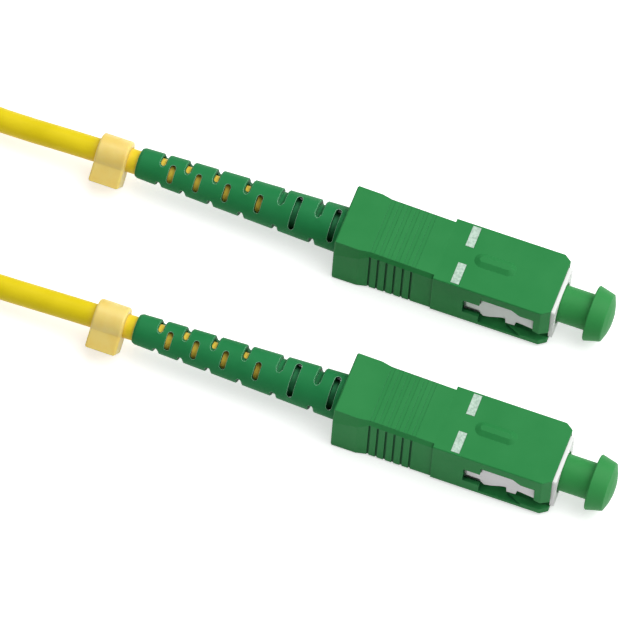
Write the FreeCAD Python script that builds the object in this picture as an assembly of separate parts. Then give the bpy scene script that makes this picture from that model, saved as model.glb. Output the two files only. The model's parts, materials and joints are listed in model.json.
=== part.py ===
"""Simplex fibre optic patch cable, one push-pull plug on each end, millimetres.

World frame: +X runs along both plugs towards their ferrules, +Z is up and z = 0 is the
surface that the cable lies on.  The origin is the middle of the two plugs' box, on that
surface.  Each plug is drawn in its own frame, x = 0 at the rear face of the grip and the
ferrule axis along X, and is then put in its place.
"""
import FreeCAD, Part
import math
import os

V = FreeCAD.Vector

# Plug standard: outer grip, front part
GRIP_LENGTH = 27.5
FRONT_WIDTH = 9.0
FRONT_HEIGHT = 7.4
FRONT_LENGTH = 14.8
FRONT_CHAMFER_LENGTH = 1.0
FRONT_CHAMFER_WIDTH = 0.73
FRONT_EDGE_RADIUS = 0.15

# Grip: rear block, ribbed waist
REAR_WIDTH = 9.0
REAR_HEIGHT = 8.3
REAR_EDGE = 0.15
REAR_FLAT_END = 3.2
WAIST_START = 4.5
WAIST_WIDTH = 8.5
WAIST_HEIGHT = 8.1
BEVEL_WIDTH = 0.3
REAR_BEVEL_DROP = 2.6
WAIST_BEVEL_DROP = 0.7
UNDER_BEVEL = 0.3
GROOVE_COUNT = 6
GROOVE_PITCH_SHARE = 0.129
GROOVE_WIDTH = 0.26
GROOVE_DEPTH = 0.25
TOP_GROOVE_DEPTH = 0.04
TOP_GROOVE_WIDTH = 0.5

# Grip: cavity, side windows, release ramps, key and position marks
WALL_TOP = 0.65
WALL_SIDE = 0.9
CAVITY_SPARE = 0.3
CHANNEL_COVER = 0.42
WINDOW_FROM_FRONT = 10.8
WINDOW_STEP_LENGTH = 2.1
WINDOW_TOP = 2.3
WINDOW_NARROW_TOP = 0.85
WINDOW_NARROW_BOTTOM = -1.75
WINDOW_FLAT_LENGTH = 4.05
WINDOW_DIP_LENGTH = 1.05
FRONT_BAR_TOP = 1.55
FRONT_BAR_BOTTOM = -0.85
FRONT_BAR_FOOT = -1.4
FRONT_BAR_LENGTH = 1.8
GRIP_TRAVEL = 1.0
RAMP_FROM_FRONT = 5.3
RAMP_LENGTH = 2.0
RAMP_HEIGHT = 0.35
KEY_FROM_FRONT = 11.0
KEY_LENGTH = 5.3
KEY_WIDTH = 2.0
KEY_TOP_WIDTH = 0.7
KEY_HEIGHT = 0.38
MARK_FROM_FRONT = 12.65
MARK_LENGTH = 1.05
MARK_INNER = 1.25
MARK_SIDE_MARGIN = 0.3
MARK_DEPTH = 0.2
MARK_PROUD = 0.03
MARK_CLEARANCE = 0.02

# Inner housing and its side latch profiles
SLIDE_CLEARANCE = 0.15
INNER_PROUD = 0.45
INNER_EDGE_RADIUS = 0.25
MOUTH_RADIUS = 2.65
SHOULDER_LENGTH = 0.8
LATCH_CLEARANCE = 0.13
LATCH_GAP = 0.3
LATCH_LENGTH = 8.55
LATCH_RECESS_DEPTH = 0.5
LATCH_RECESS_TOP = 0.9
LATCH_RECESS_END = 0.5

# Ferrule, flange and spring
FERRULE_DIAMETER = 2.5
FERRULE_LENGTH = 10.4
FERRULE_PROUD = 0.95
FERRULE_TIP_ANGLE = 8.0
FERRULE_TIP_CHAMFER = 0.35
FERRULE_HOLE_CLEARANCE = 0.35
FLANGE_RADIUS = 2.2
FLANGE_LENGTH = 2.7
FLANGE_SOCKET = 0.7
FLANGE_TAIL_RADIUS = 1.1
FLANGE_TAIL_LENGTH = 1.7
FLANGE_FLAT = 0.25
GUIDE_CLEARANCE = 0.15
SPRING_WIRE = 0.4
SPRING_MEAN_RADIUS = 1.65
SPRING_TURNS = 6
SPRING_LENGTH = 4.2

# Rear body, crimp sleeve and bare buffered fibre
STOP_RING_RADIUS = 2.6
STOP_RING_BARREL_LENGTH = 5.3
STOP_RING_FLANGE_RADIUS = 2.75
STOP_RING_FLANGE_LENGTH = 1.0
POST_RADIUS = 1.4
POST_LENGTH = 11.5
POST_BORE_RADIUS = 0.75
SOCKET_CLEARANCE = 0.05
CRIMP_WALL = 0.42
CRIMP_SETBACK = 0.5
CRIMP_NECK_LENGTH = 3.0
CRIMP_CLEARANCE = 0.05
BUFFER_RADIUS = 0.45
BUFFER_CLEARANCE = 0.08
BUFFER_ENTRY = 1.5

# Strain relief boot
BOOT_LENGTH = 29.6
BOOT_FRONT_GAP = 3.0
BOOT_TAIL_RADIUS = 1.93
BOOT_BIG_RADIUS = 2.88
BOOT_BIG_LENGTH = 3.6
BOOT_CLEARANCE = 0.15
BOOT_FRONT_CLEARANCE = 0.06
BOOT_BORE_SPARE = 1.1
BOOT_EDGE = 0.35
BOOT_ROLL = 36.0
BOOT_PAIRS = 6
BOOT_FIRST_CUT = 3.1
BOOT_PITCH = 3.2
BOOT_PITCH_GROWTH = 0.41
BOOT_WINDOW_SHARE = 0.43
BOOT_WINDOW_WIDTH = 0.75
BOOT_NOTCH_WIDTH = 0.65
BOOT_NOTCH_FLOOR_SHARE = 0.5
BOOT_NOTCH_TURN = 104.0
BOOT_NOTCH_EDGE = 0.13
BOOT_OPEN_NOTCHES = 4
BOOT_BLIND_CORE = 2.2
BOOT_SMALL_WINDOWS = 4
BOOT_SMALL_WINDOW = 2.3
BOOT_LARGE_WINDOW = 4.2
BOOT_LARGE_WINDOW_TURN = -11.0
HOUSING_BOOT_GAP = 0.35

# Dust cap
CAP_NECK_RADIUS = 2.3
CAP_NECK_HIDDEN = 6.45
CAP_NECK_SHOWN = 3.7
CAP_HEAD_BACK_RADIUS = 3.5
CAP_HEAD_FRONT_RADIUS = 3.05
CAP_HEAD_LENGTH = 2.2
CAP_DOME = 0.6
CAP_EDGE = 0.12
CAP_FRONT_EDGE = 0.3
CAP_BORE_CLEARANCE = 0.03
CAP_BORE_SPARE = 1.0

# Cable, marker clip, coil and tie
CABLE_DIAMETER = 3.0
CABLE_SETBACK = 1.5
CLIP_FROM_BOOT = 3.25
CLIP_LENGTH = 3.9
CLIP_WALL = 0.7
CLIP_FOOT_REACH = 3.8
CLIP_FOOT_WIDTH = 3.4
CLIP_FOOT_ANGLE = 217.0
CLIP_EDGE = 0.3
COIL_CENTRE_X = -83.5
COIL_INNER_TURN = 9.35
COIL_PITCH = 3.05
COIL_COLUMNS = 5
COIL_LAYERS = 2
COIL_EDGE = 1.2
TIE_THICKNESS = 0.4
TIE_WIDTH = 6.0
TIE_CLEARANCE = 0.05
TIE_ANGLE = 180.0

# Places of the two plugs
PLUG_OFFSET_X = 7.8
PLUG_OFFSET_Y = 21.9

AXIS_HEIGHT = REAR_HEIGHT / 2
CABLE_RADIUS = CABLE_DIAMETER / 2
FERRULE_RADIUS = FERRULE_DIAMETER / 2
INNER_FRONT = GRIP_LENGTH + INNER_PROUD
FERRULE_TIP = INNER_FRONT + FERRULE_PROUD
FRONT_START = GRIP_LENGTH - FRONT_LENGTH
GROOVE_PITCH = (FRONT_START - WAIST_START) * GROOVE_PITCH_SHARE
WINDOW_START = GRIP_LENGTH - WINDOW_FROM_FRONT
WINDOW_STEP = WINDOW_START + WINDOW_STEP_LENGTH
RAMP_START = GRIP_LENGTH - RAMP_FROM_FRONT
KEY_START = GRIP_LENGTH - KEY_FROM_FRONT
MARK_START = GRIP_LENGTH - MARK_FROM_FRONT
MARK_OUTER = FRONT_WIDTH / 2 - MARK_SIDE_MARGIN
LATCH_START = WINDOW_START + LATCH_GAP
SHOULDER_START = FERRULE_TIP - FERRULE_LENGTH + FLANGE_SOCKET
FLANGE_START = SHOULDER_START - FLANGE_LENGTH
STOP_RING_FRONT = FLANGE_START - SPRING_LENGTH
INNER_START = STOP_RING_FRONT - STOP_RING_BARREL_LENGTH
CAVITY_START = INNER_START - CAVITY_SPARE
STOP_RING_BACK = INNER_START - STOP_RING_FLANGE_LENGTH
POST_END = STOP_RING_BACK - POST_LENGTH
CABLE_START = POST_END - CABLE_SETBACK
BOOT_FRONT = STOP_RING_BACK - BOOT_FRONT_GAP
BOOT_BIG_START = BOOT_FRONT - BOOT_BIG_LENGTH
BOOT_BORE_STEP = POST_END - CRIMP_NECK_LENGTH - BOOT_BORE_SPARE
BOOT_TAIL = BOOT_FRONT - BOOT_LENGTH
CRIMP_FRONT = BOOT_FRONT - CRIMP_SETBACK
CLIP_CENTRE = BOOT_TAIL - CLIP_FROM_BOOT
CAP_NECK_START = INNER_FRONT - CAP_NECK_HIDDEN
CAP_HEAD_START = INNER_FRONT + CAP_NECK_SHOWN
CAP_END = CAP_HEAD_START + CAP_HEAD_LENGTH + CAP_DOME
PLUG_A_X = -(BOOT_TAIL + PLUG_OFFSET_X + CAP_END) / 2
PLUG_A = V(PLUG_A_X, PLUG_OFFSET_Y / 2, AXIS_HEIGHT)
PLUG_B = V(PLUG_A_X + PLUG_OFFSET_X, -PLUG_OFFSET_Y / 2, AXIS_HEIGHT)
COIL_OUTER_TURN = COIL_INNER_TURN + (COIL_COLUMNS - 1) * COIL_PITCH

# Routes of the two leads, chosen by hand: from the crimp, out of the boot on a slight
# slope, to the outer turn of the coil, on its lower layer for a and its upper for b
LEAD_A = [
    PLUG_A + V(CABLE_START, 0, 0),
    PLUG_A + V(BOOT_TAIL - 1.2, 0, 0.04),
    V(-60.8, 10.95, 2.4),
    V(-71.75, 18.1, 1.98),
]
LEAD_B = [
    PLUG_B + V(CABLE_START, 0, 0),
    PLUG_B + V(BOOT_TAIL - 1.2, 0, 0.04),
    V(-49.8, -10.95, 2.62),
    V(-60.8, -10.95, 4.5),
    V(-70.05, -16.95, 4.94),
]


def box(x0, x1, y0, y1, z0, z1):
    return Part.makeBox(x1 - x0, y1 - y0, z1 - z0, V(x0, y0, z0))


def rod(x0, x1, radius):
    """Cylinder round the plug's axis."""
    return Part.makeCylinder(radius, x1 - x0, V(x0, 0, 0), V(1, 0, 0))


def polygon_face(points):
    return Part.Face(Part.makePolygon(points + [points[0]]))


def side_prism(outline, y0, y1):
    """Prism with an (x, z) outline, from y0 to y1."""
    face = polygon_face([V(x, y0, z) for x, z in outline])
    return face.extrude(V(0, y1 - y0, 0))


def plan_prism(outline, z0, z1):
    """Prism with an (x, y) outline, from z0 to z1."""
    face = polygon_face([V(x, y, z0) for x, y in outline])
    return face.extrude(V(0, 0, z1 - z0))


def both_sides(shape):
    """The shape and its mirror image across the plug's upright middle plane."""
    return [shape, shape.mirror(V(0, 0, 0), V(0, 1, 0))]


def revolved(profile):
    """Solid turned round the plug's axis from an (x, radius) outline."""
    face = polygon_face([V(x, radius, 0) for x, radius in profile])
    return face.revolve(V(0, 0, 0), V(1, 0, 0), 360)


def fillet_where(shape, radius, wanted):
    edges = [edge for edge in shape.Edges if wanted(edge)]
    return shape.makeFillet(radius, edges)


def grip_top(x):
    """Height of the grip's top above the axis, which slopes to the front part's top."""
    share = (x - REAR_EDGE) / (FRONT_START - REAR_EDGE)
    return REAR_HEIGHT / 2 - share * (REAR_HEIGHT - FRONT_HEIGHT) / 2


def grip_section(x, half_width, top, bottom, drop):
    """Eight-sided section of the grip, with deep upper bevels and small lower ones."""
    corners = [
        (half_width - BEVEL_WIDTH, top),
        (half_width, top - drop),
        (half_width, bottom + UNDER_BEVEL),
        (half_width - UNDER_BEVEL, bottom),
    ]
    ring = corners + [(-y, z) for y, z in reversed(corners)]
    points = [V(x, y, z) for y, z in ring]
    return Part.makePolygon(points + [points[0]])


def grip_rear():
    """Rear block and ribbed waist, lofted through five sections."""
    rear = REAR_WIDTH / 2
    waist = WAIST_WIDTH / 2
    low = -REAR_HEIGHT / 2
    waist_low = -WAIST_HEIGHT / 2
    middle_drop = (REAR_BEVEL_DROP + WAIST_BEVEL_DROP) / 2
    sections = [
        grip_section(0, rear - REAR_EDGE, -low - REAR_EDGE, low + REAR_EDGE,
                     REAR_BEVEL_DROP - REAR_EDGE),
        grip_section(REAR_EDGE, rear, -low, low, REAR_BEVEL_DROP),
        grip_section(REAR_FLAT_END, rear, grip_top(REAR_FLAT_END), low, middle_drop),
        grip_section(WAIST_START, waist, grip_top(WAIST_START), waist_low,
                     WAIST_BEVEL_DROP),
        grip_section(FRONT_START, waist, grip_top(FRONT_START), waist_low,
                     WAIST_BEVEL_DROP),
    ]
    return Part.makeLoft(sections, True, True)


def grip_front():
    """Front part that enters the socket, with chamfered corners."""
    half = FRONT_WIDTH / 2
    start = GRIP_LENGTH - FRONT_CHAMFER_LENGTH
    narrow = half - FRONT_CHAMFER_WIDTH
    outline = [
        (FRONT_START, -half), (start, -half), (GRIP_LENGTH, -narrow),
        (GRIP_LENGTH, narrow), (start, half), (FRONT_START, half),
    ]
    body = plan_prism(outline, -FRONT_HEIGHT / 2, FRONT_HEIGHT / 2)

    def long_edge(edge):
        middle = edge.CenterOfMass
        return (abs(abs(middle.y) - half) < 0.01
                and abs(abs(middle.z) - FRONT_HEIGHT / 2) < 0.01)

    return fillet_where(body, FRONT_EDGE_RADIUS, long_edge)


def grip_key():
    """Low raised key on top, round-ended, with sloping flanks."""
    base = FRONT_HEIGHT / 2
    wires = []
    for width, height in ((KEY_WIDTH, base - MARK_DEPTH), (KEY_WIDTH, base),
                          (KEY_TOP_WIDTH, base + KEY_HEIGHT)):
        radius = width / 2
        left = KEY_START + KEY_WIDTH / 2
        right = KEY_START + KEY_LENGTH - KEY_WIDTH / 2
        a = V(left, radius, height)
        b = V(right, radius, height)
        c = V(right, -radius, height)
        d = V(left, -radius, height)
        wires.append(Part.Wire([
            Part.LineSegment(a, b).toShape(),
            Part.Arc(b, V(right + radius, 0, height), c).toShape(),
            Part.LineSegment(c, d).toShape(),
            Part.Arc(d, V(left - radius, 0, height), a).toShape(),
        ]))
    foot = Part.Face(wires[0]).extrude(V(0, 0, MARK_DEPTH))
    return foot.fuse(Part.makeLoft(wires[1:], True, True))


def grip_grooves():
    """Finger grooves down both sides and fainter ones across the top and bottom."""
    cuts = []
    side = WAIST_WIDTH / 2
    low = -WAIST_HEIGHT / 2
    for index in range(GROOVE_COUNT):
        x0 = WAIST_START + index * GROOVE_PITCH
        top = grip_top(x0 + TOP_GROOVE_WIDTH / 2)
        groove = box(x0, x0 + GROOVE_WIDTH, side - GROOVE_DEPTH, side + 1, low - 1,
                     top - WAIST_BEVEL_DROP)
        cuts += both_sides(groove)
        for z0 in (top - TOP_GROOVE_DEPTH, low - 1):
            cuts.append(box(x0, x0 + TOP_GROOVE_WIDTH, -side + BEVEL_WIDTH,
                            side - BEVEL_WIDTH, z0, z0 + 1 + TOP_GROOVE_DEPTH))
    return cuts


def window_outline():
    """Side window, open at the front below the bar, in (x, z)."""
    bar_start = GRIP_LENGTH - FRONT_BAR_LENGTH
    flat_end = WINDOW_STEP + WINDOW_FLAT_LENGTH
    floor = -FRONT_HEIGHT / 2 + WALL_TOP
    beyond = GRIP_LENGTH + 1
    return [
        (WINDOW_START, WINDOW_NARROW_TOP), (WINDOW_STEP, WINDOW_NARROW_TOP),
        (WINDOW_STEP, WINDOW_TOP), (flat_end, WINDOW_TOP),
        (flat_end + WINDOW_DIP_LENGTH, FRONT_BAR_TOP),
        (bar_start, FRONT_BAR_TOP), (bar_start, FRONT_BAR_BOTTOM),
        (GRIP_LENGTH, FRONT_BAR_FOOT), (beyond, FRONT_BAR_FOOT), (beyond, floor),
        (WINDOW_STEP, floor), (WINDOW_STEP, WINDOW_NARROW_BOTTOM),
        (WINDOW_START, WINDOW_NARROW_BOTTOM),
    ]


def release_ramp():
    """Low wedge on the floor of the side opening that lifts the socket's hooks."""
    inner = FRONT_WIDTH / 2 - WALL_SIDE
    outer = FRONT_WIDTH / 2
    outline = [(RAMP_START, inner), (RAMP_START + RAMP_LENGTH, outer),
               (GRIP_LENGTH - FRONT_CHAMFER_LENGTH, outer),
               (GRIP_LENGTH, outer - FRONT_CHAMFER_WIDTH), (GRIP_LENGTH, inner)]
    floor = -FRONT_HEIGHT / 2 + WALL_TOP
    return plan_prism(outline, floor - 0.1, floor + RAMP_HEIGHT)


def mark_boxes(clearance, z0, z1):
    return both_sides(box(MARK_START - clearance, MARK_START + MARK_LENGTH + clearance,
                          MARK_INNER - clearance, MARK_OUTER + clearance, z0, z1))


def outer_housing():
    top = FRONT_HEIGHT / 2
    cavity_half_width = FRONT_WIDTH / 2 - WALL_SIDE
    cavity_half_height = top - WALL_TOP
    bore = BOOT_BIG_RADIUS + HOUSING_BOOT_GAP
    channel_half_width = FRONT_WIDTH / 2 - CHANNEL_COVER
    beyond = GRIP_LENGTH + 1
    body = grip_rear().fuse([grip_front()])
    cuts = grip_grooves()
    cuts.append(rod(-1, CAVITY_START + 1, bore))
    cuts.append(box(CAVITY_START, beyond, -cavity_half_width, cavity_half_width,
                    -cavity_half_height, cavity_half_height))
    channel_end = LATCH_START + LATCH_LENGTH + GRIP_TRAVEL + SLIDE_CLEARANCE
    cuts.append(box(WINDOW_START, channel_end, -channel_half_width, channel_half_width,
                    latch_bottom() - LATCH_CLEARANCE, latch_top() + LATCH_CLEARANCE))
    cuts += both_sides(side_prism(window_outline(), cavity_half_width - 0.1, FRONT_WIDTH))
    cuts += mark_boxes(MARK_CLEARANCE, top - MARK_DEPTH, top + 1)
    body = body.cut(cuts)
    body = body.fuse([grip_key()] + both_sides(release_ramp()))
    return body.removeSplitter()


def position_marks():
    top = FRONT_HEIGHT / 2
    marks = mark_boxes(0, top - MARK_DEPTH, top + MARK_PROUD)
    return Part.makeCompound(marks)


def latch_outline():
    """Side latch profile of the inner housing, in (x, z): tail, block, tab and nose."""
    outline = [
        (0, 0.55), (1.85, 0.55), (1.95, 1.85), (5.8, 1.85), (6.95, 1.1),
        (LATCH_LENGTH, 1.1), (LATCH_LENGTH, -1.35), (6.45, -0.95), (6.3, -1.9), (5.15, -2.0),
        (5.05, -0.9), (4.3, -1.2), (3.2, -1.8), (2.3, -2.1), (1.85, -1.6), (1.75, -1.15), (0, -1.1),
    ]
    return [(LATCH_START + x, z) for x, z in outline]


def latch_top():
    return max(z for _, z in latch_outline())


def latch_bottom():
    return min(z for _, z in latch_outline())


def inner_housing():
    half_width = FRONT_WIDTH / 2 - WALL_SIDE - SLIDE_CLEARANCE
    half_height = FRONT_HEIGHT / 2 - WALL_TOP - SLIDE_CLEARANCE
    latch_face = FRONT_WIDTH / 2 - CHANNEL_COVER - LATCH_CLEARANCE
    body = box(INNER_START, INNER_FRONT, -half_width, half_width, -half_height, half_height)

    def long_edge(edge):
        middle = edge.CenterOfMass
        return (abs(abs(middle.y) - half_width) < 0.01
                and abs(abs(middle.z) - half_height) < 0.01)

    body = fillet_where(body, INNER_EDGE_RADIUS, long_edge)
    recess_floor = half_width - LATCH_RECESS_DEPTH
    recess = box(WINDOW_STEP, INNER_FRONT - LATCH_RECESS_END, recess_floor, half_width + 1,
                 -half_height - 1, LATCH_RECESS_TOP)
    body = body.cut(both_sides(recess))
    body = body.fuse(both_sides(side_prism(latch_outline(), recess_floor - 0.2, latch_face)))
    guide = FLANGE_RADIUS + GUIDE_CLEARANCE
    cuts = [
        rod(INNER_START - 1, STOP_RING_FRONT + 0.5, STOP_RING_RADIUS + SOCKET_CLEARANCE),
        rod(STOP_RING_FRONT, SHOULDER_START, guide),
        rod(SHOULDER_START - 1, INNER_FRONT, FERRULE_RADIUS + FERRULE_HOLE_CLEARANCE),
        rod(SHOULDER_START + SHOULDER_LENGTH, INNER_FRONT + 1, MOUTH_RADIUS),
    ]
    return body.cut(cuts).removeSplitter()


def ferrule():
    """Zirconia ferrule with a chamfered, angled end face."""
    body = rod(FERRULE_TIP - FERRULE_LENGTH, FERRULE_TIP, FERRULE_RADIUS)
    body = trim_to_cone(body, FERRULE_TIP, FERRULE_TIP_CHAMFER)
    slope = math.tan(math.radians(FERRULE_TIP_ANGLE))
    reach = FERRULE_RADIUS * 2
    outline = [(FERRULE_TIP + reach * slope, -reach), (FERRULE_TIP - reach * slope, reach),
               (FERRULE_TIP + reach, reach), (FERRULE_TIP + reach, -reach)]
    return body.cut(side_prism(outline, -reach, reach))


def trim_to_cone(body, end, size):
    """Trim the far end of a rod to a cone, by a turned outline."""
    keep = revolved([(end - FERRULE_LENGTH - 1, 0), (end - FERRULE_LENGTH - 1, FERRULE_RADIUS),
                     (end - 2 * size, FERRULE_RADIUS), (end, FERRULE_RADIUS - size), (end, 0)])
    return body.common(keep)


def ferrule_flange():
    """Metal flange that holds the ferrule, with flats that keep it from turning."""
    body = rod(FLANGE_START, SHOULDER_START, FLANGE_RADIUS)
    flat = FLANGE_RADIUS - FLANGE_FLAT
    slabs = [box(FLANGE_START - 1, SHOULDER_START + 1, -FLANGE_RADIUS, FLANGE_RADIUS,
                 flat, FLANGE_RADIUS + 1)]
    slabs.append(slabs[0].mirror(V(0, 0, 0), V(0, 0, 1)))
    body = body.cut(slabs)
    body = body.fuse(rod(FLANGE_START - FLANGE_TAIL_LENGTH, FLANGE_START + 0.5,
                         FLANGE_TAIL_RADIUS))
    body = body.cut([
        rod(FERRULE_TIP - FERRULE_LENGTH, SHOULDER_START + 1, FERRULE_RADIUS),
        rod(FLANGE_START - FLANGE_TAIL_LENGTH - 1, FERRULE_TIP - FERRULE_LENGTH,
            BUFFER_RADIUS + BUFFER_CLEARANCE),
    ])
    return body.removeSplitter()


def ferrule_spring():
    """Compression spring between the rear body and the flange."""
    radius = SPRING_WIRE / 2
    length = FLANGE_START - STOP_RING_FRONT - SPRING_WIRE
    helix = Part.makeHelix(length / SPRING_TURNS, length, SPRING_MEAN_RADIUS)
    circle = Part.makeCircle(radius, V(SPRING_MEAN_RADIUS, 0, 0), V(0, 1, 0))
    pipe = Part.Wire(helix.Edges).makePipeShell([Part.Wire([circle])], True, True)
    pipe.rotate(V(0, 0, 0), V(0, 1, 0), 90)
    pipe.translate(V(STOP_RING_FRONT + radius, 0, 0))
    return pipe


def stop_ring():
    """Rear body: barrel in the inner housing, flange on its rear face, crimp post."""
    body = rod(INNER_START, STOP_RING_FRONT, STOP_RING_RADIUS)
    body = body.fuse([
        rod(STOP_RING_BACK, INNER_START, STOP_RING_FLANGE_RADIUS),
        rod(POST_END, STOP_RING_BACK, POST_RADIUS),
    ])
    body = body.cut(rod(POST_END - 1, STOP_RING_FRONT + 1, POST_BORE_RADIUS))
    return body.removeSplitter()


def crimp_sleeve():
    """Stepped metal sleeve: wide over the post, necked down over the cable's jacket."""
    wide_bore = POST_RADIUS + CRIMP_CLEARANCE
    neck_bore = CABLE_RADIUS + CRIMP_CLEARANCE
    wide = wide_bore + CRIMP_WALL
    neck = neck_bore + CRIMP_WALL - CRIMP_CLEARANCE
    neck_start = POST_END - CRIMP_NECK_LENGTH
    body = rod(POST_END, CRIMP_FRONT, wide).fuse(rod(neck_start, POST_END, neck))
    body = body.cut([rod(POST_END, CRIMP_FRONT + 1, wide_bore),
                     rod(neck_start - 1, POST_END, neck_bore)])
    return body.removeSplitter()


def fibre_buffer():
    """Buffered fibre from the end of the jacket to inside the flange."""
    return rod(CABLE_START, FLANGE_START - FLANGE_TAIL_LENGTH + BUFFER_ENTRY, BUFFER_RADIUS)


def boot_radius(x):
    """Outer radius of the boot's taper at x."""
    share = (x - BOOT_TAIL) / (BOOT_BIG_START - BOOT_TAIL)
    return BOOT_TAIL_RADIUS + share * (BOOT_BIG_RADIUS - BOOT_TAIL_RADIUS)


def boot_stations():
    """(notch x, window x) of each pair of cuts, further apart towards the plug."""
    stations = []
    x = BOOT_TAIL + BOOT_FIRST_CUT
    for index in range(BOOT_PAIRS):
        pitch = BOOT_PITCH + index * BOOT_PITCH_GROWTH
        stations.append((x, x + BOOT_WINDOW_SHARE * pitch))
        x += pitch
    return stations


def round_ended_cut(x, reach, start, half_length):
    """Radial cut along +Z at x: a slot of the given half length across, from start up."""
    half = BOOT_WINDOW_WIDTH / 2
    straight = half_length - half
    slot = box(x - half, x + half, -straight, straight, start, reach)
    ends = [Part.makeCylinder(half, reach - start, V(x, side * straight, start), V(0, 0, 1))
            for side in (-1, 1)]
    return slot.fuse(ends)


def notch_cut(x, reach):
    """Saw cut along +Z at x, right across the boot: a round floor, bevelled outer edges."""
    half = BOOT_NOTCH_WIDTH / 2
    wide = half + BOOT_NOTCH_EDGE
    radius = boot_radius(x)
    floor = BOOT_NOTCH_FLOOR_SHARE * radius + half
    slot = box(x - half, x + half, -reach, reach, floor, reach)
    round_floor = Part.makeCylinder(half, 2 * reach, V(x, -reach, floor), V(0, 1, 0))
    edge_ring = revolved([
        (x - half, radius - BOOT_NOTCH_EDGE), (x - wide, radius), (x - wide, reach),
        (x + wide, reach), (x + wide, radius), (x + half, radius - BOOT_NOTCH_EDGE),
    ])
    edges = edge_ring.common(box(x - wide, x + wide, -reach, reach, floor, reach))
    return slot.fuse([round_floor, edges])


def boot():
    """Tapered strain relief with notches and windows that alternate a quarter turn."""
    tail_bore = CABLE_RADIUS + BOOT_CLEARANCE
    front_bore = POST_RADIUS + CRIMP_CLEARANCE + CRIMP_WALL + BOOT_FRONT_CLEARANCE
    body = revolved([
        (BOOT_TAIL, tail_bore), (BOOT_TAIL, BOOT_TAIL_RADIUS - BOOT_EDGE / 2),
        (BOOT_TAIL + BOOT_EDGE, BOOT_TAIL_RADIUS), (BOOT_BIG_START, BOOT_BIG_RADIUS),
        (BOOT_FRONT, BOOT_BIG_RADIUS), (BOOT_FRONT, front_bore),
        (BOOT_BORE_STEP, front_bore), (BOOT_BORE_STEP, tail_bore),
    ])
    reach = BOOT_BIG_RADIUS + 1
    cuts = []
    for index, (notch_x, window_x) in enumerate(boot_stations()):
        large = index >= BOOT_SMALL_WINDOWS
        window = BOOT_LARGE_WINDOW if large else BOOT_SMALL_WINDOW
        window_roll = BOOT_ROLL + (BOOT_LARGE_WINDOW_TURN if large else 0)
        for turn in (0, 180):
            side = round_ended_cut(window_x, reach, 0, window / 2)
            side.rotate(V(0, 0, 0), V(1, 0, 0), window_roll + turn)
            edge = notch_cut(notch_x, reach)
            if index >= BOOT_OPEN_NOTCHES:
                edge = edge.cut(rod(notch_x - 1, notch_x + 1, BOOT_BLIND_CORE))
            edge.rotate(V(0, 0, 0), V(1, 0, 0), BOOT_ROLL + BOOT_NOTCH_TURN + turn)
            cuts += [side, edge]
    return body.cut(cuts).removeSplitter()


def dust_cap():
    """Mushroom cap whose neck grips the ferrule inside the plug's mouth."""
    head_end = CAP_HEAD_START + CAP_HEAD_LENGTH
    bore = FERRULE_RADIUS + CAP_BORE_CLEARANCE
    bore_end = FERRULE_TIP + CAP_BORE_SPARE
    profile = [
        (CAP_NECK_START, bore), (CAP_NECK_START, CAP_NECK_RADIUS - CAP_EDGE),
        (CAP_NECK_START + CAP_EDGE, CAP_NECK_RADIUS), (CAP_HEAD_START, CAP_NECK_RADIUS),
        (CAP_HEAD_START, CAP_HEAD_BACK_RADIUS - CAP_EDGE),
        (CAP_HEAD_START + CAP_EDGE, CAP_HEAD_BACK_RADIUS),
        (head_end - CAP_FRONT_EDGE, CAP_HEAD_FRONT_RADIUS),
        (head_end - CAP_FRONT_EDGE * 0.3, CAP_HEAD_FRONT_RADIUS - CAP_FRONT_EDGE * 0.3),
        (head_end, CAP_HEAD_FRONT_RADIUS - CAP_FRONT_EDGE),
        (head_end + CAP_DOME * 0.5, CAP_HEAD_FRONT_RADIUS * 0.65),
        (head_end + CAP_DOME * 0.85, CAP_HEAD_FRONT_RADIUS * 0.35), (head_end + CAP_DOME, 0),
        (bore_end, 0), (bore_end, bore),
    ]
    return revolved(profile)


def marker_clip(centre):
    """Nylon clip round the cable, with a closure block on its lower near side."""
    radius = CABLE_RADIUS + CLIP_WALL
    start = centre.x - CLIP_LENGTH / 2
    ring = Part.makeCylinder(radius, CLIP_LENGTH, V(start, centre.y, centre.z), V(1, 0, 0))
    foot = Part.makeBox(CLIP_LENGTH, CLIP_FOOT_REACH, CLIP_FOOT_WIDTH,
                        V(start, centre.y, centre.z - CLIP_FOOT_WIDTH / 2))
    foot.rotate(centre, V(1, 0, 0), CLIP_FOOT_ANGLE)
    body = ring.fuse(foot).removeSplitter()

    def rim(edge):
        middle = edge.BoundBox.Center
        return edge.BoundBox.XLength < 0.01 and abs(middle.x - centre.x) > CLIP_LENGTH / 3

    return fillet_where(body, CLIP_EDGE, rim)


def route_wire(points):
    """Straight runs joined by tangent arcs, as large as each corner's runs allow."""
    edges = []
    radii = []
    last = points[0]
    for before, corner, after in zip(points, points[1:], points[2:]):
        into = corner - before
        out = after - corner
        tangent = 0.45 * min(into.Length, out.Length)
        half_turn = into.getAngle(out) / 2
        radii.append(tangent / math.tan(half_turn))
        into.normalize()
        out.normalize()
        start = corner - into * tangent
        end = corner + out * tangent
        bisector = out - into
        bisector.normalize()
        middle = corner + bisector * (radii[-1] / math.cos(half_turn) - radii[-1])
        edges.append(Part.LineSegment(last, start).toShape())
        edges.append(Part.Arc(start, middle, end).toShape())
        last = end
    edges.append(Part.LineSegment(last, points[-1]).toShape())
    return Part.Wire(edges), radii


def cable_tube(name, points):
    wire, radii = route_wire(points)
    circle = Part.makeCircle(CABLE_RADIUS, points[0], points[1] - points[0])
    tube = wire.makePipeShell([Part.Wire([circle])], True, False)
    section = math.pi * CABLE_RADIUS ** 2
    print(name, "radii", [round(radius, 1) for radius in radii],
          "length", round(wire.Length, 1),
          "volume / section x length", round(tube.Volume / section / wire.Length, 4))
    return tube


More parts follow.
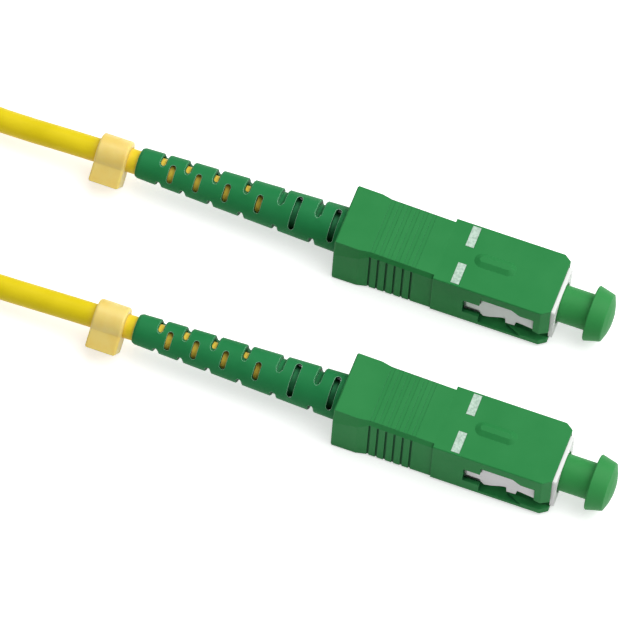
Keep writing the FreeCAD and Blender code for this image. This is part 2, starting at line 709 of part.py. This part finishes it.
def coil_profile():
    """Half section of the coil, as (inner, outer, bottom, top)."""
    inner = COIL_INNER_TURN - COIL_PITCH / 2
    outer = COIL_OUTER_TURN + COIL_PITCH / 2
    bottom = TIE_THICKNESS + TIE_CLEARANCE
    return inner, outer, bottom, bottom + COIL_LAYERS * COIL_PITCH


def coil():
    """Outer shape of the coil of put-away cable."""
    inner, outer, bottom, top = coil_profile()
    centre = V(COIL_CENTRE_X, 0, bottom)
    ring = Part.makeCylinder(outer, top - bottom, centre)
    ring = ring.cut(Part.makeCylinder(inner, top - bottom, centre))
    return ring.makeFillet(COIL_EDGE, [e for e in ring.Edges if len(e.Vertexes) == 1])


def coil_tie():
    """Flat band closed round the coil's bundle, clear of the curve of its inner side."""
    inner, outer, bottom, top = coil_profile()
    half = TIE_WIDTH / 2
    gap = TIE_CLEARANCE
    wall = TIE_THICKNESS
    x0 = math.sqrt(inner ** 2 - half ** 2) - gap
    x1 = outer + gap
    z0 = bottom - gap
    z1 = top + gap
    hole = box(x0, x1, -2 * half, 2 * half, z0, z1)
    band = box(x0 - wall, x1 + wall, -half, half, z0 - wall, z1 + wall)

    def corner(edge):
        middle = edge.CenterOfMass
        return abs(middle.y) < 0.01 and edge.BoundBox.YLength > half

    band = fillet_where(band, COIL_EDGE, corner)
    hole = fillet_where(hole, COIL_EDGE - wall, corner)
    band = band.cut(hole)
    band.rotate(V(0, 0, 0), V(0, 0, 1), TIE_ANGLE)
    band.translate(V(COIL_CENTRE_X, 0, 0))
    return band


def placed(shape, place):
    copy = shape.copy()
    copy.translate(place)
    return copy


def clip_centre(plug, route):
    """Point at the clip's distance on the run that follows the lead's second point."""
    start, end = route[1:3]
    share = (plug.x + CLIP_CENTRE - start.x) / (end.x - start.x)
    return start + (end - start) * share


def main():
    os.makedirs("parts", exist_ok=True)
    plug_parts = {
        "outer_housing": outer_housing(),
        "position_marks": position_marks(),
        "inner_housing": inner_housing(),
        "ferrule": ferrule(),
        "ferrule_flange": ferrule_flange(),
        "ferrule_spring": ferrule_spring(),
        "stop_ring": stop_ring(),
        "crimp_sleeve": crimp_sleeve(),
        "fibre_buffer": fibre_buffer(),
        "boot": boot(),
        "dust_cap": dust_cap(),
    }
    shapes = {}
    for suffix, place in (("a", PLUG_A), ("b", PLUG_B)):
        for name, shape in plug_parts.items():
            shapes[name + "_" + suffix] = placed(shape, place)
    ring = coil()
    for suffix, place, route in (("a", PLUG_A, LEAD_A), ("b", PLUG_B, LEAD_B)):
        tube = cable_tube("lead " + suffix, route)
        shapes["marker_clip_" + suffix] = marker_clip(clip_centre(place, route)).cut(tube)
        shapes["cable_lead_" + suffix] = tube.cut(ring)
    shapes["cable_coil"] = ring
    shapes["coil_tie"] = coil_tie()
    for name, shape in shapes.items():
        shape.exportStep("parts/" + name + ".step")
        box_ = shape.BoundBox
        print(name, "solids", len(shape.Solids), "valid", shape.isValid(),
              "volume", round(shape.Volume, 2),
              "box", [round(v, 2) for v in (box_.XMin, box_.XMax, box_.YMin, box_.YMax,
                                            box_.ZMin, box_.ZMax)])


main()
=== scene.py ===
import json
import math

import bpy
from mathutils import Matrix, Vector


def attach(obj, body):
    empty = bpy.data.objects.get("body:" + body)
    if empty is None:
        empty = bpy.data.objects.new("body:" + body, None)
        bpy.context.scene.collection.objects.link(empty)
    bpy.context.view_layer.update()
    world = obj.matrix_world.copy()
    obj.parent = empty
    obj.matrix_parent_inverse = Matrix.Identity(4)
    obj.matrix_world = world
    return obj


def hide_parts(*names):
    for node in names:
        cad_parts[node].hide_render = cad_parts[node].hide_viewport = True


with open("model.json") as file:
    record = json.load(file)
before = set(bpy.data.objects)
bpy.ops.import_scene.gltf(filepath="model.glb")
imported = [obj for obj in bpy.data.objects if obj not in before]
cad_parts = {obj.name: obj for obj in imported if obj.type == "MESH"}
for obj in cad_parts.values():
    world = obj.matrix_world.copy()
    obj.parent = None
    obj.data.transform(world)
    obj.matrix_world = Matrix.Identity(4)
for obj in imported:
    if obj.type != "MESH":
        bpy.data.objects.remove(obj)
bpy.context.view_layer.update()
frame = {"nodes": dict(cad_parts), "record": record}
nodes = frame["nodes"]

MM = 0.001
FULL_TURN = 360.0
QUARTER_TURN = 90.0
WHITE = (1, 1, 1, 1)

# Camera, fitted to both plugs of the photograph: pixels, degrees, and units as named
IMAGE_PX = 621
SENSOR_MM = 36.0
FOCAL_PX = 9007.0
CAMERA_AZIMUTH = 15.926
CAMERA_ELEVATION = 60.175
CAMERA_ROLL = -4.598
CAMERA_SHIFT_MM = (7.634, -3.7065)
CAMERA_DISTANCE_MM = 1089.56
CAMERA_NEAR_M = 0.05
CAMERA_FAR_M = 20

# Light and floor: strengths, watts and metres
WORLD_STRENGTH = 0.28
PANEL_POWER = 7.0
PANEL_SIDE = 0.9
PANEL_PLACE = Vector((0.28, 0.2, 0.66))
FLOOR_HALF = 3.0
FLOOR_MOTTLE = 40.0
# Extra brightness of the floor, which only the camera and reflections see
FLOOR_GLOW = 0.58

# Places of the plugs, the cable and its coil, in millimetres, as in the part's source
PLUG_A = Vector((-7.825, 10.95, 4.15))
PLUG_B = Vector((-0.025, -10.95, 4.15))
CABLE_START = -7.0
BOOT_TAIL = -26.6
CABLE_DIAMETER = 3.0
COIL_CENTRE_X = -83.5
COIL_INNER_TURN = 9.35
COIL_PITCH = 3.05
COIL_COLUMNS = 5
COIL_LOWER_Z = 1.975

# Angles along the coil, in degrees: where it is entered, where a turn moves one column over
# in the lower and in the upper layer, how far that takes, and the step between two points
COIL_ENTRY_ANGLE = 57.0
SHIFT_START = 320.0
UPPER_SHIFT_START = 140.0
SHIFT_SPAN = 80.0
COIL_STEP = 10.0

# How far past the boot each lead stays straight, and how much it has risen there
LEAD_STRAIGHT = 1.2
LEAD_RISE = 0.04

# Routes of the two leads. The last point of each lies on the coil, whose own points take
# its place.
LEAD_A = [
    PLUG_A + Vector((CABLE_START, 0, 0)),
    PLUG_A + Vector((BOOT_TAIL - LEAD_STRAIGHT, 0, LEAD_RISE)),
    Vector((-60.8, 10.95, 2.4)),
    Vector((-71.75, 18.1, 1.98)),
]
LEAD_B = [
    PLUG_B + Vector((CABLE_START, 0, 0)),
    PLUG_B + Vector((BOOT_TAIL - LEAD_STRAIGHT, 0, LEAD_RISE)),
    Vector((-49.8, -10.95, 2.62)),
    Vector((-60.8, -10.95, 4.5)),
    Vector((-70.05, -16.95, 4.94)),
]

# Steps of the cable's mesh round its section and between two control points
CORD_ROUND_STEPS = 5
CORD_LONG_STEPS = 6

# Noise values at which a colour ramp leaves its dark and reaches its light colour
RAMP_START = 0.35
RAMP_END = 0.65

# Samples of the nodes that look round a point for edges and hollows
SURROUND_SAMPLES = 6

# Cosine between the true and the rounded normal where the painted edge highlight starts to show
# and where it shows in full
EDGE_START = 0.97
EDGE_FULL = 0.85

# Share of open surroundings where painted shade (painted light on the jacket) starts and is
# full
HOLLOW_START = 0.85
HOLLOW_FULL = 0.4
HOLLOW_REACH_MM = 6.0

# Fine bump of all the moulded and extruded plastics
GRAIN_STRENGTH = 0.12
GRAIN_DEPTH_MM = 0.02


def new_material(name):
    """A node material with only an output and a principled shader, and that shader."""
    material = bpy.data.materials.new(name)
    material.use_nodes = True
    tree = material.node_tree
    return material, tree, tree.nodes["Principled BSDF"]


def noise(tree, scale, detail=3.0, stretch=(1, 1, 1)):
    """Noise in object space; scale is in features per metre."""
    place = tree.nodes.new("ShaderNodeTexCoord")
    mapping = tree.nodes.new("ShaderNodeMapping")
    mapping.inputs["Scale"].default_value = stretch
    texture = tree.nodes.new("ShaderNodeTexNoise")
    texture.inputs["Scale"].default_value = scale
    texture.inputs["Detail"].default_value = detail
    tree.links.new(place.outputs["Object"], mapping.inputs["Vector"])
    tree.links.new(mapping.outputs["Vector"], texture.inputs["Vector"])
    return texture.outputs["Fac"]


def ramp(tree, source, dark, light):
    """Colour that follows the source between two linear colours."""
    node = tree.nodes.new("ShaderNodeValToRGB")
    first, last = node.color_ramp.elements
    first.position = RAMP_START
    first.color = (*dark, 1)
    last.position = RAMP_END
    last.color = (*light, 1)
    tree.links.new(source, node.inputs["Fac"])
    return node.outputs["Color"]


def mask_between(tree, source, start, full):
    """0 where the source is at its start value or before it, 1 where it is at full."""
    node = tree.nodes.new("ShaderNodeMapRange")
    node.inputs["From Min"].default_value = start
    node.inputs["From Max"].default_value = full
    tree.links.new(source, node.inputs["Value"])
    return node.outputs["Result"]


def rounded_normal(tree, radius_mm):
    """Normal that turns over an edge as if the edge were rounded."""
    bevel = tree.nodes.new("ShaderNodeBevel")
    bevel.samples = SURROUND_SAMPLES
    bevel.inputs["Radius"].default_value = radius_mm * MM
    return bevel.outputs["Normal"]


def edge_mask(tree, radius_mm):
    """1 on edges that are sharper than the radius, 0 on flat and gently curved faces."""
    geometry = tree.nodes.new("ShaderNodeNewGeometry")
    cosine = tree.nodes.new("ShaderNodeVectorMath")
    cosine.operation = "DOT_PRODUCT"
    tree.links.new(rounded_normal(tree, radius_mm), cosine.inputs[0])
    tree.links.new(geometry.outputs["True Normal"], cosine.inputs[1])
    return mask_between(tree, cosine.outputs["Value"], EDGE_START, EDGE_FULL)


def hollow_mask(tree, own_only=True):
    """1 deep in slots and hollows, 0 on open faces; own_only leaves other pieces out."""
    occlusion = tree.nodes.new("ShaderNodeAmbientOcclusion")
    occlusion.samples = SURROUND_SAMPLES
    occlusion.only_local = own_only
    occlusion.inputs["Distance"].default_value = HOLLOW_REACH_MM * MM
    return mask_between(tree, occlusion.outputs["AO"], HOLLOW_START, HOLLOW_FULL)


def mix_colour(tree, mask, colour, other):
    """The colour, and the other colour where the mask is 1."""
    node = tree.nodes.new("ShaderNodeMix")
    node.data_type = "RGBA"
    node.inputs["B"].default_value = (*other, 1)
    tree.links.new(mask, node.inputs["Factor"])
    tree.links.new(colour, node.inputs["A"])
    return node.outputs["Result"]


def vary_roughness(tree, shader, source, low, high):
    """Roughness that follows the source between two values."""
    node = tree.nodes.new("ShaderNodeMapRange")
    node.inputs["To Min"].default_value = low
    node.inputs["To Max"].default_value = high
    tree.links.new(source, node.inputs["Value"])
    tree.links.new(node.outputs["Result"], shader.inputs["Roughness"])


def fine_surface(tree, shader, height, strength, depth_mm, edge_radius=None):
    """Adds a fine bump and, with an edge radius, edges that look rounded."""
    bump = tree.nodes.new("ShaderNodeBump")
    bump.inputs["Strength"].default_value = strength
    bump.inputs["Distance"].default_value = depth_mm * MM
    tree.links.new(height, bump.inputs["Height"])
    if edge_radius:
        tree.links.new(rounded_normal(tree, edge_radius), bump.inputs["Normal"])
    tree.links.new(bump.outputs["Normal"], shader.inputs["Normal"])


def plastic(name, dark, light, roughness, edge_radius=0.12, edge_highlight_colour=None, shine=0.15,
            hollow_shade_colour=None, mottle_scale=180.0):
    """Moulded plastic with mottling, fine grain and soft edges.

    A painted highlight shows on its sharp edges, and painted shade in its own hollows.
    """
    material, tree, shader = new_material(name)
    grain = noise(tree, scale=2500.0, detail=2.0)
    colour = ramp(tree, noise(tree, mottle_scale), dark, light)
    # Painted highlight: a lighter colour on sharp edges, as if rounded edges caught the light
    if edge_highlight_colour:
        colour = mix_colour(tree, edge_mask(tree, edge_radius), colour, edge_highlight_colour)
    # Painted shade: a darker colour where the piece's own surroundings close in
    if hollow_shade_colour:
        colour = mix_colour(tree, hollow_mask(tree), colour, hollow_shade_colour)
    tree.links.new(colour, shader.inputs["Base Color"])
    shader.inputs["Specular IOR Level"].default_value = shine
    vary_roughness(tree, shader, grain, low=roughness - 0.05, high=roughness + 0.07)
    fine_surface(tree, shader, grain, GRAIN_STRENGTH, GRAIN_DEPTH_MM, edge_radius)
    return material


def metal(name, dark, light, roughness):
    """Metal with the fine marks of turning, closer together along the plugs' axis."""
    material, tree, shader = new_material(name)
    turned = noise(tree, scale=900.0, detail=2.0, stretch=(8, 1, 1))
    tree.links.new(ramp(tree, turned, dark, light), shader.inputs["Base Color"])
    shader.inputs["Metallic"].default_value = 1.0
    vary_roughness(tree, shader, turned, low=roughness - 0.08, high=roughness + 0.08)
    fine_surface(tree, shader, turned, strength=0.1, depth_mm=0.01, edge_radius=0.05)
    return material


def jacket():
    """Extruded yellow jacket, mottled and finely grained, with painted warm light where it lies
    hidden.
    """
    material, tree, shader = new_material("jacket_yellow")
    grain = noise(tree, scale=2200.0)
    colour = ramp(tree, noise(tree, scale=250.0), (0.82, 0.65, 0.008), (0.88, 0.70, 0.014))
    # Painted fill light: a lighter, warmer yellow where the jacket lies hidden
    colour = mix_colour(tree, hollow_mask(tree, own_only=False), colour, (1.0, 0.70, 0.10))
    tree.links.new(colour, shader.inputs["Base Color"])
    shader.inputs["Specular IOR Level"].default_value = 0.12
    vary_roughness(tree, shader, grain, low=0.34, high=0.5)
    fine_surface(tree, shader, grain, GRAIN_STRENGTH, GRAIN_DEPTH_MM)
    return material


def nylon():
    """Milky translucent nylon of the marker clips."""
    material, tree, shader = new_material("clip_nylon")
    grain = noise(tree, scale=2600.0, detail=2.0)
    colour = ramp(tree, noise(tree, scale=420.0), (0.95, 0.69, 0.17), (0.98, 0.76, 0.24))
    tree.links.new(colour, shader.inputs["Base Color"])
    shader.inputs["Subsurface Weight"].default_value = 0.4
    shader.inputs["Subsurface Radius"].default_value = (0.6, 0.7, 0.5)
    shader.inputs["Subsurface Scale"].default_value = 0.8 * MM
    vary_roughness(tree, shader, grain, low=0.3, high=0.45)
    fine_surface(tree, shader, grain, GRAIN_STRENGTH, GRAIN_DEPTH_MM, edge_radius=0.2)
    return material


def hook_and_loop():
    """Dark fuzzy band of the coil's tie."""
    material, tree, shader = new_material("tie_band")
    fuzz = noise(tree, scale=4000.0, detail=4.0)
    colour = ramp(tree, fuzz, (0.008, 0.008, 0.009), (0.05, 0.05, 0.055))
    tree.links.new(colour, shader.inputs["Base Color"])
    shader.inputs["Roughness"].default_value = 0.9
    shader.inputs["Sheen Weight"].default_value = 0.4
    fine_surface(tree, shader, fuzz, strength=0.5, depth_mm=0.1, edge_radius=0.1)
    return material


# One material for each slot of the record
MATERIALS = {
    # Grip: painted highlight on its edges and painted shade in its hollows
    "grip_green": plastic("grip_green", (0.025, 0.238, 0.061), (0.031, 0.256, 0.069), 0.48,
                          edge_radius=0.1, edge_highlight_colour=(0.05, 0.30, 0.10), shine=0.08,
                          hollow_shade_colour=(0.010, 0.100, 0.035)),
    # Boot: strong painted highlight on its edges and painted shade in its slots and hollows
    "boot_green": plastic("boot_green", (0.016, 0.212, 0.062), (0.022, 0.232, 0.074), 0.5,
                          edge_highlight_colour=(0.42, 0.70, 0.52), shine=0.08,
                          hollow_shade_colour=(0.012, 0.12, 0.04)),
    "cap_green": plastic("cap_green", (0.035, 0.28, 0.068), (0.042, 0.30, 0.076), 0.5),
    "white_plastic": plastic("white_plastic", (0.91, 0.89, 0.90), (0.94, 0.92, 0.93), 0.4),
    "ceramic": plastic("ceramic", (0.82, 0.82, 0.80), (0.88, 0.88, 0.86), 0.15,
                       edge_radius=0.05, shine=0.6),
    "plated_metal": metal("plated_metal", (0.03, 0.20, 0.08), (0.05, 0.26, 0.11), 0.7),
    "spring_steel": metal("spring_steel", (0.5, 0.5, 0.5), (0.6, 0.6, 0.6), 0.3),
    "jacket_yellow": jacket(),
    "buffer_white": plastic("buffer_white", (0.8, 0.8, 0.76), (0.86, 0.86, 0.82), 0.4,
                            edge_radius=0.05),
    "clip_nylon": nylon(),
    "tie_band": hook_and_loop(),
}

# The position marks share a slot with the white plastic, but are printed with a grain
MARK_MATERIAL = plastic("mark_white", (0.40, 0.55, 0.45), (0.60, 0.76, 0.65), 0.6,
                        edge_radius=0.03, mottle_scale=4000.0)


def dress_cad_nodes():
    """Gives each CAD node the material of its slot."""
    for entry in frame["record"]["subparts"]:
        mesh = nodes[entry["node"]].data
        marks = entry["node"].startswith("position_marks")
        mesh.materials.clear()
        mesh.materials.append(MARK_MATERIAL if marks else MATERIALS[entry["material_slot"]])
        for polygon in mesh.polygons:
            polygon.material_index = 0


def ease(share):
    """Goes from 0 to 1 with a soft start and a soft end."""
    return share * share * (3 - 2 * share)


def column_shift(angle, first_shift):
    """Index of the latest move to the next column, negative before the first, and its share."""
    shift = math.floor((angle - first_shift) / FULL_TURN)
    share = (angle - first_shift - FULL_TURN * shift) / SHIFT_SPAN
    return shift, ease(min(max(share, 0), 1))


def coil_point(angle, radius, z):
    """Control point of a turn, which lies a little outside the curve that it shapes."""
    turn = math.radians(angle)
    reach = radius / math.cos(math.radians(COIL_STEP / 2))
    return Vector((COIL_CENTRE_X + reach * math.cos(turn), reach * math.sin(turn), z))


def coil_points():
    """Control points of the turns: lower layer inwards, a climb, upper layer outwards."""
    outer = COIL_INNER_TURN + (COIL_COLUMNS - 1) * COIL_PITCH
    lower_end = SHIFT_START + SHIFT_SPAN + FULL_TURN * (COIL_COLUMNS - 1)
    upper_shift = UPPER_SHIFT_START + FULL_TURN * COIL_COLUMNS
    upper_end = FULL_TURN * (2 * COIL_COLUMNS - 1) - COIL_ENTRY_ANGLE
    points = []
    for index in range(round((upper_end - COIL_ENTRY_ANGLE) / COIL_STEP)):
        angle = COIL_ENTRY_ANGLE + (index + 0.5) * COIL_STEP
        radius = outer
        z = COIL_LOWER_Z
        if angle < lower_end:
            shift, share = column_shift(angle, SHIFT_START)
            lift = math.radians(QUARTER_TURN * share)
            if shift >= COIL_COLUMNS - 1:
                radius = COIL_INNER_TURN
                z += COIL_PITCH * math.sin(lift)
            elif shift >= 0:
                radius -= COIL_PITCH * (shift + 1 - math.cos(lift))
        else:
            shift, share = column_shift(angle, upper_shift)
            columns_out = shift + share if shift >= 0 else 0
            radius = COIL_INNER_TURN + COIL_PITCH * columns_out
            z += COIL_PITCH
        points.append(coil_point(angle, radius, z))
    return points


def patch_cord():
    """The whole cable as one curve, from the crimp of plug a to the crimp of plug b."""
    route = LEAD_A[:-1] + coil_points() + LEAD_B[-2::-1]
    curve = bpy.data.curves.new("patch_cord", "CURVE")
    curve.dimensions = "3D"
    curve.bevel_depth = CABLE_DIAMETER / 2 * MM
    curve.bevel_resolution = CORD_ROUND_STEPS
    curve.resolution_u = CORD_LONG_STEPS
    spline = curve.splines.new("NURBS")
    spline.points.add(len(route) - 1)
    for point, place in zip(spline.points, route):
        point.co = (*(place * MM), 1)
    spline.order_u = 3
    spline.use_endpoint_u = True
    cord = bpy.data.objects.new("patch_cord", curve)
    bpy.context.scene.collection.objects.link(cord)
    curve.materials.append(MATERIALS["jacket_yellow"])
    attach(cord, "cable")
    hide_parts("cable_lead_a", "cable_lead_b", "cable_coil")


def floor():
    """White table top that fills the view and glows for the camera and for reflections."""
    mesh = bpy.data.meshes.new("floor")
    corners = [(-FLOOR_HALF, -FLOOR_HALF, 0), (FLOOR_HALF, -FLOOR_HALF, 0),
               (FLOOR_HALF, FLOOR_HALF, 0), (-FLOOR_HALF, FLOOR_HALF, 0)]
    mesh.from_pydata(corners, [], [(0, 1, 2, 3)])
    plane = bpy.data.objects.new("floor", mesh)
    bpy.context.scene.collection.objects.link(plane)
    material, tree, shader = new_material("floor_white")
    colour = ramp(tree, noise(tree, FLOOR_MOTTLE), (0.85, 0.85, 0.85), (0.87, 0.87, 0.87))
    tree.links.new(colour, shader.inputs["Base Color"])
    shader.inputs["Roughness"].default_value = 0.9
    shader.inputs["Specular IOR Level"].default_value = 0.1
    shader.inputs["Emission Color"].default_value = WHITE
    path = tree.nodes.new("ShaderNodeLightPath")
    seen = tree.nodes.new("ShaderNodeMath")
    seen.operation = "MAXIMUM"
    glow = tree.nodes.new("ShaderNodeMath")
    glow.operation = "MULTIPLY"
    glow.inputs[1].default_value = FLOOR_GLOW
    tree.links.new(path.outputs["Is Camera Ray"], seen.inputs[0])
    tree.links.new(path.outputs["Is Glossy Ray"], seen.inputs[1])
    tree.links.new(seen.outputs["Value"], glow.inputs[0])
    tree.links.new(glow.outputs["Value"], shader.inputs["Emission Strength"])
    mesh.materials.append(material)


def lights():
    """Soft studio light: a large panel overhead and an even white surround."""
    world = bpy.data.worlds.new("studio")
    bpy.context.scene.world = world
    world.use_nodes = True
    background = world.node_tree.nodes["Background"]
    background.inputs["Color"].default_value = WHITE
    background.inputs["Strength"].default_value = WORLD_STRENGTH
    lamp = bpy.data.lights.new("panel", "AREA")
    lamp.shape = "SQUARE"
    lamp.size = PANEL_SIDE
    lamp.energy = PANEL_POWER
    panel = bpy.data.objects.new("panel", lamp)
    panel.location = PANEL_PLACE
    panel.rotation_euler = (-PANEL_PLACE).to_track_quat("-Z", "Y").to_euler()
    bpy.context.scene.collection.objects.link(panel)


def camera():
    """Far camera at the photograph's angle, placed from the fitted values."""
    azimuth = math.radians(CAMERA_AZIMUTH)
    elevation = math.radians(CAMERA_ELEVATION)
    back = Vector((math.sin(azimuth) * math.cos(elevation),
                   -math.cos(azimuth) * math.cos(elevation), math.sin(elevation)))
    right = Vector((math.cos(azimuth), math.sin(azimuth), 0))
    up = back.cross(right)
    roll = math.radians(CAMERA_ROLL)
    rolled_right = right * math.cos(roll) - up * math.sin(roll)
    rolled_up = right * math.sin(roll) + up * math.cos(roll)
    shift_right, shift_up = CAMERA_SHIFT_MM
    place = (back * CAMERA_DISTANCE_MM - rolled_right * shift_right - rolled_up * shift_up) * MM
    data = bpy.data.cameras.new("camera")
    data.sensor_width = SENSOR_MM
    data.lens = FOCAL_PX * SENSOR_MM / IMAGE_PX
    data.clip_start = CAMERA_NEAR_M
    data.clip_end = CAMERA_FAR_M
    eye = bpy.data.objects.new("camera", data)
    turn = Matrix((rolled_right, rolled_up, back)).transposed().to_4x4()
    eye.matrix_world = Matrix.Translation(place) @ turn
    bpy.context.scene.collection.objects.link(eye)
    bpy.context.scene.camera = eye


camera()
dress_cad_nodes()
patch_cord()
floor()
lights()
bpy.context.scene.view_settings.view_transform = "Standard"
